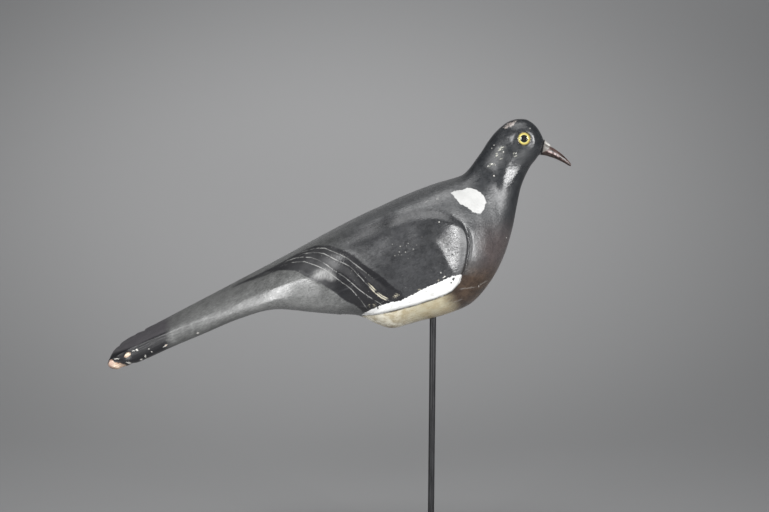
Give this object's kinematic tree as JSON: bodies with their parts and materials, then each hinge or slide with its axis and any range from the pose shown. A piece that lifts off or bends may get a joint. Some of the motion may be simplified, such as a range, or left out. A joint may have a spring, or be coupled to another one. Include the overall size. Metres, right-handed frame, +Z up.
{
  "type": "pigeon decoy",
  "caption": "Carved and painted wooden pigeon with glass eyes and a let-in bill, held up by a round rod in a round foot, for display.",
  "frame": {"origin": "centre of the foot's flat underside, straight below the rod", "axes": "+X is the way the bird faces, +Z is up"},
  "size_m": [0.4143, 0.14, 0.3908],
  "materials": {
    "painted_wood": "old oil paint, satin, worn",
    "bill_paint": "brown paint, satin",
    "eye_glass": "polished",
    "rod_steel": "satin black",
    "foot_steel": "satin black"
  },
  "bodies": {
    "root": {"carved_body": "painted_wood", "bill": "bill_paint", "left_eye": "eye_glass", "right_eye": "eye_glass", "rod": "rod_steel", "foot": "foot_steel"}
  },
  "joints": []
}
